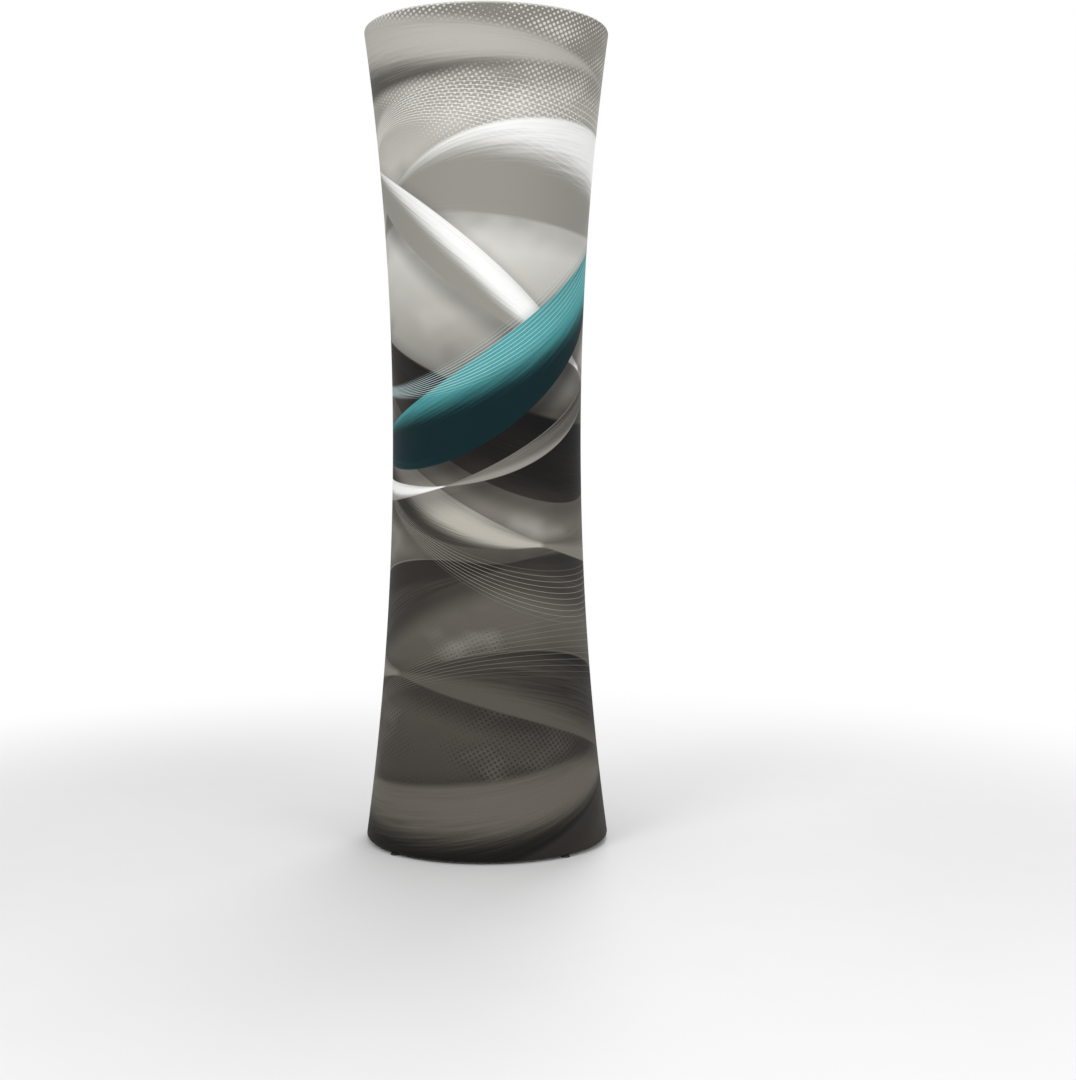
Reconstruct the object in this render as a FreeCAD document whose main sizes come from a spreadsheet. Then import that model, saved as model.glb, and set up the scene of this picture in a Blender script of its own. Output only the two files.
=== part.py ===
"""Hourglass display tower: a bent tube frame under a stretch-fabric cover. Millimetres, +Z up.

The origin is on the floor under the middle of the tower. The zip is at the back, on the +Y side.
Every pole is one circular bend, and the fabric, the hems and the zip share its centre.
"""

import FreeCAD, Part
import collections
import os

import Sketcher
from FreeCAD import Placement, Rotation, Vector

DRIVING_SIZES = {
    "tower_height": (3048.0, "floor to the top of the rolled rim"),
    "end_diameter": (914.4, "over the fabric at the top and bottom rings"),
    "waist_diameter": (711.2, "over the fabric at the narrowest height"),
    "floor_gap": (7.0, "floor to the underside of the fabric"),
    "fabric_thickness": (1.5, "stands for 0.4 mm stretch fabric"),
    "fabric_clearance": (0.3, "between the fabric and the tubes"),
    "hem_depth": (45.0, "how far each hem hangs past its ring"),
    "tube_diameter": (32.0, "outside of the poles and the end rings"),
    "cross_tube_diameter": (28.0, "outside of the waist ring"),
    "tube_wall": (1.6, "wall of every tube"),
    "joint_gap": (0.3, "seam between two butted tubes"),
    "plug_depth": (20.0, "how deep a spigot is set in its own tube"),
    "spigot_length": (60.0, "how far a spigot stands out of its shoulder"),
    "spigot_clearance": (0.25, "between a spigot and the bore round it"),
    "stub_length": (80.0, "ring centre to the shoulder of a pole stub"),
    "cross_stub_length": (60.0, "pole centre to the shoulder of a waist stub"),
    "middle_pole_length": (1000.0, "length of the middle piece of each pole"),
    "zip_slot_width": (10.0, "width of the slit in the cover"),
    "zip_clearance": (0.3, "between the tape and the edges of the slit"),
    "zip_end_margin": (90.0, "uncut fabric above and below the slit"),
    "zip_tape_thickness": (0.6, "tape behind the coil"),
    "zip_coil_width": (4.0, "closed coil"),
    "slider_width": (9.0, "closed end of the zip slider"),
    "slider_shoulder_width": (13.0, "open end of the zip slider"),
    "slider_length": (14.0, "along the zip"),
    "slider_thickness": (2.5, "front plate of the slider"),
    "slider_height_on_zip": (60.0, "closed slider, above the bottom of the slit"),
    "slider_clearance": (0.2, "slider to coil, and pull tab to slider"),
    "pull_width": (7.0, "tab that hangs from the slider"),
    "pull_length": (32.0, "tab that hangs from the slider"),
    "pull_thickness": (1.5, "tab that hangs from the slider"),
    "pull_hole_diameter": (4.0, "hole at the foot of the tab"),
    "foot_diameter": (34.0, "rubber pad"),
    "foot_bevel": (2.0, "top edge of the pad"),
    "foot_clearance": (0.3, "between the pad and the fabric"),
}

POLES = {"front_right": -45.0, "back_right": 45.0, "back_left": 135.0, "front_left": 225.0}
WAIST_ARCS = {"front": -90.0, "right": 0.0, "back": 90.0, "left": 180.0}
RING_STUB_AZIMUTHS = (45.0, 135.0)
BACK = 90.0
HALF_TURN = 180.0
DEGREES = "180 deg / pi"
CONSTRUCTION_LENGTH = 100.0
SAME_POINT = 1e-3

DERIVED_SIZES = {
    "TubeRadius": "Sizes.tube_diameter / 2",
    "BoreRadius": "Sizes.tube_diameter / 2 - Sizes.tube_wall",
    "SpigotRadius": "Derived.BoreRadius - Sizes.spigot_clearance",
    "CrossRadius": "Sizes.cross_tube_diameter / 2",
    "CrossBoreRadius": "Sizes.cross_tube_diameter / 2 - Sizes.tube_wall",
    "CrossSpigotRadius": "Derived.CrossBoreRadius - Sizes.spigot_clearance",
    "InnerWrap": "Derived.TubeRadius + Sizes.fabric_clearance",
    "OuterWrap": "Derived.InnerWrap + Sizes.fabric_thickness",
    "RingRadius": "Sizes.end_diameter / 2 - Derived.OuterWrap",
    "WaistRadius": "Sizes.waist_diameter / 2 - Derived.OuterWrap",
    "BottomRingHeight": "Sizes.floor_gap + Derived.OuterWrap",
    "TopRingHeight": "Sizes.tower_height - Derived.OuterWrap",
    "MiddleHeight": "(Derived.TopRingHeight + Derived.BottomRingHeight) / 2",
    "HalfRise": "(Derived.TopRingHeight - Derived.BottomRingHeight) / 2",
    "Bow": "Derived.RingRadius - Derived.WaistRadius",
    "PoleBend": "(Derived.HalfRise * Derived.HalfRise + Derived.Bow * Derived.Bow) / (2 * Derived.Bow)",
    "BendCentre": "Derived.WaistRadius + Derived.PoleBend",
}

DERIVED_ANGLES = {
    "RingAngle": "asin(Derived.HalfRise / Derived.PoleBend)",
    "PoleGapAngle": "Sizes.joint_gap / Derived.PoleBend * " + DEGREES,
    "StubAngle": "Sizes.stub_length / Derived.PoleBend * " + DEGREES,
    "PoleSpigotAngle": "Sizes.spigot_length / Derived.PoleBend * " + DEGREES,
    "MiddlePoleAngle": "Sizes.middle_pole_length / 2 / Derived.PoleBend * " + DEGREES,
    "PolePlugAngle": "Sizes.plug_depth / Derived.PoleBend * " + DEGREES,
    "RingGapAngle": "Sizes.joint_gap / Derived.RingRadius * " + DEGREES,
    "RingPlugAngle": "Sizes.plug_depth / Derived.RingRadius * " + DEGREES,
    "RingSpigotAngle": "Sizes.spigot_length / Derived.RingRadius * " + DEGREES,
    "WaistGapAngle": "Sizes.joint_gap / Derived.WaistRadius * " + DEGREES,
    "CrossStubAngle": "Sizes.cross_stub_length / Derived.WaistRadius * " + DEGREES,
    "CrossSpigotAngle": "Sizes.spigot_length / Derived.WaistRadius * " + DEGREES,
    "ZipAngle": "asin((Derived.MiddleHeight - Sizes.zip_end_margin) / Derived.PoleBend)",
}

ZIP_SLIT_ENDS = ("Sizes.zip_end_margin", "Sizes.tower_height - Sizes.zip_end_margin")

# An arc of an outline, in expressions. One with a centre is a half circle about it.
Arc = collections.namedtuple("Arc", "first last radius through centre")


def make_sizes(doc):
    """The sheet of driving sizes."""
    sheet = doc.addObject("Spreadsheet::Sheet", "Sizes")
    for row, (alias, (millimetres, meaning)) in enumerate(DRIVING_SIZES.items(), start=1):
        sheet.set(f"A{row}", alias)
        sheet.set(f"B{row}", str(millimetres))
        sheet.set(f"C{row}", meaning)
        sheet.setAlias(f"B{row}", alias)
    doc.recompute()
    return sheet


def make_derived(doc):
    """Sizes that follow from the sheet, kept in one place for the sketches."""
    derived = doc.addObject("App::VarSet", "Derived")
    for kind, table in (("App::PropertyFloat", DERIVED_SIZES), ("App::PropertyAngle", DERIVED_ANGLES)):
        for name, expression in table.items():
            derived.addProperty(kind, name, "Geometry")
            derived.setExpression(name, expression)
            doc.recompute()
    return derived


doc = FreeCAD.newDocument("display_tower")
sizes = make_sizes(doc)
derived = make_derived(doc)


def value(expression):
    """The present value of an expression, in millimetres or degrees."""
    found = derived.evalExpression(expression)
    return float(getattr(found, "Value", found))


def new_body(label):
    body = doc.addObject("PartDesign::Body", label)
    body.Label = label
    return body


def plane_of(body, role):
    for feature in body.Origin.OriginFeatures:
        if feature.Role == role:
            return feature
    raise ValueError(f"{body.Label} has no {role}")


def new_sketch(body, name, role, offset=None):
    """A sketch on one of the body's own origin planes, moved from it by offset."""
    sketch = body.newObject("Sketcher::SketchObject", f"{body.Label}_{name}")
    sketch.AttachmentSupport = [(plane_of(body, role), "")]
    sketch.MapMode = "FlatFace"
    if offset is not None:
        sketch.AttachmentOffset = offset
    return sketch


def pin(sketch, geometry, point, across, up):
    """Holds a point of the sketch at two expressions measured from its origin."""
    for kind, axis, expression in (("DistanceX", -2, across), ("DistanceY", -1, up)):
        if expression is None:
            continue
        distance = value(expression)
        if abs(distance) < 1e-9:
            sketch.addConstraint(Sketcher.Constraint("PointOnObject", geometry, point, axis))
            continue
        index = sketch.addConstraint(Sketcher.Constraint(kind, -1, 1, geometry, point, distance))
        sketch.setExpression(f"Constraints[{index}]", expression)


def add_circle(sketch, across, up, radius):
    circle = Part.Circle(Vector(value(across), value(up), 0), Vector(0, 0, 1), value(radius))
    geometry = sketch.addGeometry(circle, False)
    pin(sketch, geometry, 3, across, up)
    index = sketch.addConstraint(Sketcher.Constraint("Radius", geometry, value(radius)))
    sketch.setExpression(f"Constraints[{index}]", radius)
    return geometry


def add_turning_axis(sketch, across):
    """A construction line parallel to the sketch's vertical axis, to revolve about."""
    start = Vector(value(across), 0, 0)
    end = start + Vector(0, CONSTRUCTION_LENGTH, 0)
    line = sketch.addGeometry(Part.LineSegment(start, end), True)
    pin(sketch, line, 1, across, "0")
    sketch.addConstraint(Sketcher.Constraint("Vertical", line))
    sketch.addConstraint(Sketcher.Constraint("DistanceY", line, 1, line, 2, CONSTRUCTION_LENGTH))


def revolve(body, sketch, name, axis, angle, cut=False, symmetric=False, backwards=False):
    """A revolved feature. It must add or remove something."""
    before = body.Shape.Volume if body.Tip else 0.0
    kind = "PartDesign::Groove" if cut else "PartDesign::Revolution"
    feature = body.newObject(kind, f"{body.Label}_{name}")
    feature.Profile = sketch
    feature.ReferenceAxis = (sketch, [axis])
    feature.Midplane = symmetric
    feature.Reversed = backwards
    feature.setExpression("Angle", angle)
    doc.recompute()
    after = feature.Shape.Volume
    if (after >= before) if cut else (after <= before):
        raise ValueError(f"{feature.Name} left the solid's volume at {after:.0f}")
    return feature


def pole_section(body, name, radii, azimuth=0.0, tilt=0.0):
    """Circles round a pole's centreline, in a plane through the centre of its bend.

    tilt turns that plane up from the waist, and azimuth turns it round the tower.
    """
    round_the_tower = Placement(Vector(), Rotation(Vector(0, 0, 1), azimuth))
    bend_centre = Vector(value("Derived.BendCentre"), 0, value("Derived.MiddleHeight"))
    along_the_bend = Placement(Vector(), Rotation(Vector(0, 1, 0), tilt), bend_centre)
    at_the_waist = Placement(Vector(0, 0, value("Derived.MiddleHeight")), Rotation())
    sketch = new_sketch(body, name, "XY_Plane", round_the_tower * along_the_bend * at_the_waist)
    for radius in radii:
        add_circle(sketch, "Derived.WaistRadius", "0", radius)
    add_turning_axis(sketch, "Derived.BendCentre")
    return sketch


def ring_section(body, name, ring_radius, height, radii, azimuth=0.0):
    """Circles round a ring's centreline, in a vertical plane through the tower's axis."""
    # The sketch's own vertical axis is the tower's axis, so an offset turns about it.
    turned = Placement(Vector(), Rotation(Vector(0, 1, 0), azimuth))
    sketch = new_sketch(body, name, "XZ_Plane", turned)
    for radius in radii:
        add_circle(sketch, ring_radius, height, radius)
    return sketch


def half_ring(label):
    """Half of the top ring, with two pole stubs and a spigot at one end. Drawn at the back."""
    body = new_body(label)
    ring = ("Derived.RingRadius", "Derived.TopRingHeight")
    sweep = "180 deg - Derived.RingGapAngle"
    outside = ring_section(body, "outside", *ring, ["Derived.TubeRadius"])
    revolve(body, outside, "tube", "V_Axis", sweep)
    tilt = value("Derived.RingAngle")
    for number, azimuth in enumerate(RING_STUB_AZIMUTHS, start=1):
        shoulder = pole_section(body, f"stub_{number}", ["Derived.TubeRadius"], azimuth, tilt)
        revolve(body, shoulder, f"stub_{number}_tube", "Axis0", "Derived.StubAngle", backwards=True)
        inside = pole_section(body, f"stub_{number}_spigot", ["Derived.SpigotRadius"], azimuth, tilt)
        reach = "Derived.StubAngle + Derived.PoleSpigotAngle"
        revolve(body, inside, f"stub_{number}_insert", "Axis0", reach, backwards=True)
    end = ring_section(body, "end", *ring, ["Derived.SpigotRadius"])
    revolve(body, end, "end_insert", "V_Axis", "180 deg + Derived.RingSpigotAngle")
    bore = ring_section(body, "bore", *ring, ["Derived.BoreRadius"])
    revolve(body, bore, "hollow", "V_Axis", sweep + " - Derived.RingPlugAngle", cut=True)
    return body


def middle_pole(label):
    """The middle piece of a pole, with a spigot at each end and a cross stub for the waist ring."""
    body = new_body(label)
    ring = ("Derived.WaistRadius", "Derived.MiddleHeight")
    outside = pole_section(body, "outside", ["Derived.TubeRadius"])
    revolve(body, outside, "tube", "Axis0", "2 * Derived.MiddlePoleAngle", symmetric=True)
    cross = ring_section(body, "cross", *ring, ["Derived.CrossRadius"])
    revolve(body, cross, "cross_stub", "V_Axis", "2 * Derived.CrossStubAngle", symmetric=True)
    cross_insert = ring_section(body, "cross_spigot", *ring, ["Derived.CrossSpigotRadius"])
    reach = "2 * (Derived.CrossStubAngle + Derived.CrossSpigotAngle)"
    revolve(body, cross_insert, "cross_insert", "V_Axis", reach, symmetric=True)
    insert = pole_section(body, "spigot", ["Derived.SpigotRadius"])
    reach = "2 * (Derived.MiddlePoleAngle + Derived.PoleSpigotAngle)"
    revolve(body, insert, "insert", "Axis0", reach, symmetric=True)
    bore = pole_section(body, "bore", ["Derived.BoreRadius"])
    hollow = "2 * (Derived.MiddlePoleAngle - Derived.PolePlugAngle)"
    revolve(body, bore, "hollow", "Axis0", hollow, cut=True, symmetric=True)
    return body


def end_pole(label):
    """The upper piece of a pole. Both its ends are open."""
    body = new_body(label)
    tilt = value("Derived.MiddlePoleAngle + Derived.PoleGapAngle")
    section = pole_section(body, "section", ["Derived.TubeRadius", "Derived.BoreRadius"], tilt=tilt)
    sweep = "Derived.RingAngle - Derived.StubAngle - Derived.MiddlePoleAngle - 2 * Derived.PoleGapAngle"
    revolve(body, section, "tube", "Axis0", sweep)
    return body


def waist_arc(label):
    """A quarter of the waist ring, less the cross stubs that it joins. Both its ends are open."""
    body = new_body(label)
    ring = ("Derived.WaistRadius", "Derived.MiddleHeight")
    section = ring_section(body, "section", *ring, ["Derived.CrossRadius", "Derived.CrossBoreRadius"])
    sweep = "90 deg - 2 * (Derived.CrossStubAngle + Derived.WaistGapAngle)"
    revolve(body, section, "tube", "V_Axis", sweep, symmetric=True)
    return body


def beside_pole(offset, reach, side):
    """A point of the cover's section, offset inwards from the pole line and reach short of its end.

    side is + at the top and - at the bottom. A negative reach passes the end.
    """
    bend = f"(Derived.PoleBend + {offset})"
    across = f"Derived.BendCentre - {bend} * cos(Derived.RingAngle) - {reach} * sin(Derived.RingAngle)"
    rise = f"({bend} * sin(Derived.RingAngle) - {reach} * cos(Derived.RingAngle))"
    return across, f"Derived.MiddleHeight {side} {rise}"


def cover_end(side, ring_height):
    """The fabric's corners at one rim, outside first, and the two arcs that roll over the ring."""
    corners = [
        beside_pole("-1 * Derived.OuterWrap", "0", side),
        beside_pole("Derived.OuterWrap", "0", side),
        beside_pole("Derived.OuterWrap", "Sizes.hem_depth", side),
        beside_pole("Derived.InnerWrap", "Sizes.hem_depth", side),
        beside_pole("Derived.InnerWrap", "0", side),
        beside_pole("-1 * Derived.InnerWrap", "0", side),
    ]
    centre = ("Derived.RingRadius", ring_height)
    over_rim = beside_pole("0", "-1 * Derived.OuterWrap", side)
    under_rim = beside_pole("0", "-1 * Derived.InnerWrap", side)
    arcs = [
        Arc(corners[0], corners[1], "Derived.OuterWrap", over_rim, centre),
        Arc(corners[4], corners[5], "Derived.InnerWrap", under_rim, centre),
    ]
    return corners, arcs


def cover_section(body):
    """The skin between the rims, rolled over both rings into a hem behind the poles."""
    top, top_arcs = cover_end("+", "Derived.TopRingHeight")
    bottom, bottom_arcs = cover_end("-", "Derived.BottomRingHeight")
    inner_bend = "Derived.PoleBend - Derived.InnerWrap"
    outer_bend = "Derived.PoleBend - Derived.OuterWrap"
    inner_waist = ("Derived.WaistRadius + Derived.InnerWrap", "Derived.MiddleHeight")
    outer_waist = ("Derived.WaistRadius + Derived.OuterWrap", "Derived.MiddleHeight")
    skins = [
        Arc(bottom[0], top[0], outer_bend, outer_waist, None),
        Arc(bottom[5], top[5], inner_bend, inner_waist, None),
    ]
    hems = [(rim[low], rim[low + 1]) for rim in (top, bottom) for low in (1, 2, 3)]
    sketch = new_sketch(body, "section", "XZ_Plane")
    add_outline(sketch, hems, top_arcs + bottom_arcs + skins)
    return sketch


def point_of(place):
    return Vector(value(place[0]), value(place[1]), 0)


def add_outline(sketch, lines, arcs=()):
    """Lines and arcs between corners given as expressions, joined where they share a corner.

    A half circle is held by its centre and the heights of its ends, so it comes before the rest.
    """
    ends_at = {}
    for arc in arcs:
        curve = Part.Arc(point_of(arc.first), point_of(arc.through), point_of(arc.last))
        geometry = sketch.addGeometry(curve, False)
        index = sketch.addConstraint(Sketcher.Constraint("Radius", geometry, value(arc.radius)))
        sketch.setExpression(f"Constraints[{index}]", arc.radius)
        if arc.centre is not None:
            pin(sketch, geometry, 3, *arc.centre)
        join(sketch, geometry, (arc.first, arc.last), ends_at, only_height=arc.centre is not None)
    for corners in lines:
        segment = Part.LineSegment(point_of(corners[0]), point_of(corners[1]))
        join(sketch, sketch.addGeometry(segment, False), corners, ends_at)


def join(sketch, geometry, corners, ends_at, only_height=False):
    """Ties both ends of a curve to the curves that are already there, or else to their corners."""
    swapped = sketch.getPoint(geometry, 1).distanceToPoint(point_of(corners[0])) > SAME_POINT
    for corner, end in zip(corners, (2, 1) if swapped else (1, 2)):
        if corner in ends_at:
            sketch.addConstraint(Sketcher.Constraint("Coincident", *ends_at[corner], geometry, end))
            continue
        ends_at[corner] = (geometry, end)
        pin(sketch, geometry, end, None if only_height else corner[0], corner[1])


def cut_through(body, sketch, name):
    """A pocket right through. It must remove something."""
    before = body.Shape.Volume
    pocket = body.newObject("PartDesign::Pocket", f"{body.Label}_{name}")
    pocket.Profile = sketch
    pocket.Type = "ThroughAll"
    doc.recompute()
    if pocket.Shape.Volume >= before:
        raise ValueError(f"{pocket.Name} removes nothing")
    return pocket


def add_rectangle(sketch, left, right, low, high):
    """An upright rectangle whose sides are four expressions."""
    corners = [(left, low), (right, low), (right, high), (left, high)]
    add_outline(sketch, list(zip(corners, corners[1:] + corners[:1])))


def fabric_cover(label):
    """One closed sheet with a slit for the zip at the back."""
    body = new_body(label)
    revolve(body, cover_section(body), "skin", "V_Axis", "360 deg")
    slit = new_sketch(body, "slit", "XZ_Plane")
    half_slit = "Sizes.zip_slot_width / 2"
    add_rectangle(slit, "-1 * " + half_slit, half_slit, *ZIP_SLIT_ENDS)
    cut_through(body, slit, "slit_cut")
    return body


def zip_strip(label, half_width, inner_offset, outer_offset):
    """A strip that follows the skin from one end of the slit to the other, at azimuth 0."""
    body = new_body(label)
    at_the_waist = Placement(Vector(0, 0, value("Derived.MiddleHeight")), Rotation())
    section = new_sketch(body, "section", "XY_Plane", at_the_waist)
    inner = f"Derived.WaistRadius + {inner_offset}"
    outer = f"Derived.WaistRadius + {outer_offset}"
    add_rectangle(section, inner, outer, "-1 * " + half_width, half_width)
    add_turning_axis(section, "Derived.BendCentre")
    revolve(body, section, "strip", "Axis0", "2 * Derived.ZipAngle", symmetric=True)
    return body


def zip_slider(label):
    """The slider's front plate, wider at its open end, drawn at the waist and facing along X."""
    body = new_body(label)
    front = "Derived.WaistRadius + Derived.OuterWrap + Sizes.slider_clearance"
    sketch = new_sketch(body, "plate", "YZ_Plane", Placement(Vector(0, 0, value(front)), Rotation()))
    low = "Derived.MiddleHeight - Sizes.slider_length / 2"
    high = "Derived.MiddleHeight + Sizes.slider_length / 2"
    corners = [
        ("Sizes.slider_width / -2", low),
        ("Sizes.slider_width / 2", low),
        ("Sizes.slider_shoulder_width / 2", "Derived.MiddleHeight"),
        ("Sizes.slider_shoulder_width / 2", high),
        ("Sizes.slider_shoulder_width / -2", high),
        ("Sizes.slider_shoulder_width / -2", "Derived.MiddleHeight"),
    ]
    add_outline(sketch, list(zip(corners, corners[1:] + corners[:1])))
    pad(body, sketch, "plate_pad", "Sizes.slider_thickness")
    return body


def pull_tab(label):
    """The tab that hangs down from the slider's face."""
    body = new_body(label)
    front = (
        "Derived.WaistRadius + Derived.OuterWrap + Sizes.slider_thickness + 2 * Sizes.slider_clearance"
    )
    sketch = new_sketch(body, "tab", "YZ_Plane", Placement(Vector(0, 0, value(front)), Rotation()))
    top = "Derived.MiddleHeight + Sizes.slider_length / 4"
    foot = top + " - Sizes.pull_length + Sizes.pull_width / 2"
    half = "Sizes.pull_width / 2"
    corners = [("-1 * " + half, foot), (half, foot), (half, top), ("-1 * " + half, top)]
    rounded = Arc(corners[0], corners[1], half, ("0", foot + " - " + half), ("0", foot))
    add_outline(sketch, list(zip(corners[1:], corners[2:] + corners[:1])), [rounded])
    add_circle(sketch, "0", foot, "Sizes.pull_hole_diameter / 2")
    pad(body, sketch, "tab_pad", "Sizes.pull_thickness")
    return body


def pad(body, sketch, name, length):
    feature = body.newObject("PartDesign::Pad", f"{body.Label}_{name}")
    feature.Profile = sketch
    feature.setExpression("Length", length)
    doc.recompute()
    return feature


def foot(label):
    """A rubber pad between the floor and the rim of the cover."""
    body = new_body(label)
    disc = new_sketch(body, "disc", "XY_Plane")
    add_circle(disc, "Derived.RingRadius", "0", "Sizes.foot_diameter / 2")
    base = pad(body, disc, "pad", "Sizes.floor_gap - Sizes.foot_clearance")
    bevel = body.newObject("PartDesign::Chamfer", f"{label}_bevel")
    bevel.Base = (base, [top_edge(base)])
    bevel.setExpression("Size", "Sizes.foot_bevel")
    return body


def top_edge(feature):
    """The name of the feature's highest edge."""
    heights = [edge.BoundBox.ZMin for edge in feature.Shape.Edges]
    return f"Edge{heights.index(max(heights)) + 1}"


def turned(azimuth):
    return Placement(Vector(), Rotation(Vector(0, 0, 1), azimuth))


def upside_down():
    """A half turn about a level line through the waist, along X."""
    waist = Vector(0, 0, value("Derived.MiddleHeight"))
    return Placement(Vector(), Rotation(Vector(1, 0, 0), HALF_TURN), waist)


def along_bend(angle):
    """From the waist at azimuth 0, up the pole's bend by an angle."""
    centre = Vector(value("Derived.BendCentre"), 0, value("Derived.MiddleHeight"))
    return Placement(Vector(), Rotation(Vector(0, 1, 0), angle), centre)


def place(body, placement=None):
    if placement is not None:
        body.Placement = placement
    parts.append(body)


parts = []
place(fabric_cover("fabric_cover"))
place(half_ring("top_ring_back"))
place(half_ring("top_ring_front"), turned(HALF_TURN))
place(half_ring("bottom_ring_front"), upside_down())
place(half_ring("bottom_ring_back"), turned(HALF_TURN) * upside_down())
for side, azimuth in WAIST_ARCS.items():
    place(waist_arc(f"waist_arc_{side}"), turned(azimuth))
for corner, azimuth in POLES.items():
    place(middle_pole(f"pole_{corner}_middle"), turned(azimuth))
    place(end_pole(f"pole_{corner}_upper"), turned(azimuth))
    place(end_pole(f"pole_{corner}_lower"), turned(azimuth) * upside_down())
    place(foot(f"foot_{corner}"), turned(azimuth))

zip_low = value("Derived.ZipAngle - Sizes.slider_height_on_zip / Derived.PoleBend * " + DEGREES)
tape_outer = "Derived.InnerWrap + Sizes.zip_tape_thickness"
half_tape = "(Sizes.zip_slot_width / 2 - Sizes.zip_clearance)"
place(zip_strip("zip_tape", half_tape, "Derived.InnerWrap", tape_outer), turned(BACK))
place(zip_strip("zip_coil", "Sizes.zip_coil_width / 2", tape_outer, "Derived.OuterWrap"), turned(BACK))
place(zip_slider("zip_slider"), turned(BACK) * along_bend(-zip_low))
place(pull_tab("zip_pull"), turned(BACK) * along_bend(-zip_low))

doc.recompute()
for thing in doc.Objects:
    if "Invalid" in thing.State or "Error" in thing.State:
        raise ValueError(f"{thing.Name} failed: {thing.State}")
for part in parts:
    if part.Shape.isNull() or not part.Shape.isValid() or len(part.Shape.Solids) != 1:
        raise ValueError(f"{part.Label} isn't one valid solid")

os.makedirs("parts", exist_ok=True)
for part in parts:
    part.Shape.exportStep(f"parts/{part.Label}.step")
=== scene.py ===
"""Looks for the fabric display tower: printed stretch cover, zip, tube frame and a plain studio."""

import math

import bmesh
import bpy
from mathutils import Matrix, Vector


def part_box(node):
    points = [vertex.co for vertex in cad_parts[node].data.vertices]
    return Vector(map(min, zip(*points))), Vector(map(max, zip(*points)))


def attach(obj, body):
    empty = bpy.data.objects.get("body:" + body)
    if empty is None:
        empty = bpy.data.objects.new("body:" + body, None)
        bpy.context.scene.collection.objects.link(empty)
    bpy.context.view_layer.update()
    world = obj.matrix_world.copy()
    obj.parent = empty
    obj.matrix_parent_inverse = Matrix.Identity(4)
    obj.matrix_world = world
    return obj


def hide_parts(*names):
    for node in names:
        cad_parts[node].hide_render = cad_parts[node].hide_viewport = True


bl_info = {
    "name": "Fabric display tower",
    "version": (1, 0, 0),
    "blender": (4, 5, 0),
    "location": "View3D > Sidebar > Display tower",
    "description": "Dresses the packed tower frame with its printed cover, zip, buttons and studio",
    "category": "Object",
}

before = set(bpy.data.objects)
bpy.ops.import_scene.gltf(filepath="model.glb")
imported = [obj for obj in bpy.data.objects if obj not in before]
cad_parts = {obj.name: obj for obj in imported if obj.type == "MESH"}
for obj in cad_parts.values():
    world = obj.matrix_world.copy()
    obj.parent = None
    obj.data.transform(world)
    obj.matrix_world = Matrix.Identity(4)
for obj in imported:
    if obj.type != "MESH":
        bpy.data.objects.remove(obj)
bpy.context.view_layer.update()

MM = 0.001
COVER_LOW, COVER_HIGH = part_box("fabric_cover")
WAIST_LOW, WAIST_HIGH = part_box("waist_arc_front")
ZIP_LOW, ZIP_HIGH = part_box("zip_coil")
TAPE_LOW, TAPE_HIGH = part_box("zip_tape")
RING_LOW, RING_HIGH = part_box("top_ring_back")
FOOT_LOW, FOOT_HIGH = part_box("foot_back_right")

# A foot stands right under the centre of the ring's tube. The fabric wraps the ring with its
# outer face this far from that centre.
END_RADIUS = COVER_HIGH.x
RING_RADIUS = math.hypot(FOOT_LOW.x + FOOT_HIGH.x, FOOT_LOW.y + FOOT_HIGH.y) / 2
WRAP = END_RADIUS - RING_RADIUS
TUBE_RADIUS = WRAP - (COVER_HIGH.z - RING_HIGH.z)
CROSS_RADIUS = (WAIST_HIGH.z - WAIST_LOW.z) / 2
TOP_RING_HEIGHT = COVER_HIGH.z - WRAP
BOTTOM_RING_HEIGHT = COVER_LOW.z + WRAP
WAIST_HEIGHT = (TOP_RING_HEIGHT + BOTTOM_RING_HEIGHT) / 2
POLE_WAIST_RADIUS = -WAIST_LOW.y - CROSS_RADIUS
HALF_RISE = (TOP_RING_HEIGHT - BOTTOM_RING_HEIGHT) / 2
BOW = RING_RADIUS - POLE_WAIST_RADIUS
POLE_BEND = (HALF_RISE**2 + BOW**2) / (2 * BOW)
BEND_CENTRE = POLE_WAIST_RADIUS + POLE_BEND
RING_ANGLE = math.asin(HALF_RISE / POLE_BEND)
MEAN_RADIUS = (END_RADIUS + POLE_WAIST_RADIUS + WRAP) / 2
HALF_ROUND = math.pi * MEAN_RADIUS
# One wave round the tower, so that a ribbon meets itself at the zip.
WAVES_ROUND = 1 / MEAN_RADIUS

CORNERS = {
    "front_right": math.radians(-45),
    "back_right": math.radians(45),
    "back_left": math.radians(135),
    "front_left": math.radians(225),
}

ROLL_STEPS = 20
STOP_INSET = 3.5 * MM
# Angle between faces up to which a hard piece is shaded smooth.
SMOOTH_ANGLE = math.radians(35)
# Strength of the sky on the tower. The camera sees it white.
SKY_LIGHT = 0.46
FLOOR_SPAN = 60
LAMPS_AIM_HEIGHT = 1.5
SENSOR_WIDTH = 36.0


def on_bend(offset, angle):
    """Radius and height at an angle up the poles' bend, offset inwards from the pole line."""
    reach = POLE_BEND + offset
    return BEND_CENTRE - reach * math.cos(angle), WAIST_HEIGHT + reach * math.sin(angle)


def object_mode():
    if bpy.context.object is not None and bpy.context.object.mode != "OBJECT":
        bpy.ops.object.mode_set(mode="OBJECT")


def clear_selection():
    object_mode()
    bpy.ops.object.select_all(action="DESELECT")


def select_only(piece):
    clear_selection()
    piece.select_set(True)
    bpy.context.view_layer.objects.active = piece


def settle(piece, name):
    """Names a piece and puts its place into its mesh."""
    select_only(piece)
    piece.name = name
    piece.data.name = name
    bpy.ops.object.transform_apply(location=True, rotation=True, scale=True)
    return piece


def apply_modifiers(piece):
    select_only(piece)
    for modifier in list(piece.modifiers):
        bpy.ops.object.modifier_apply(modifier=modifier.name)


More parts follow.
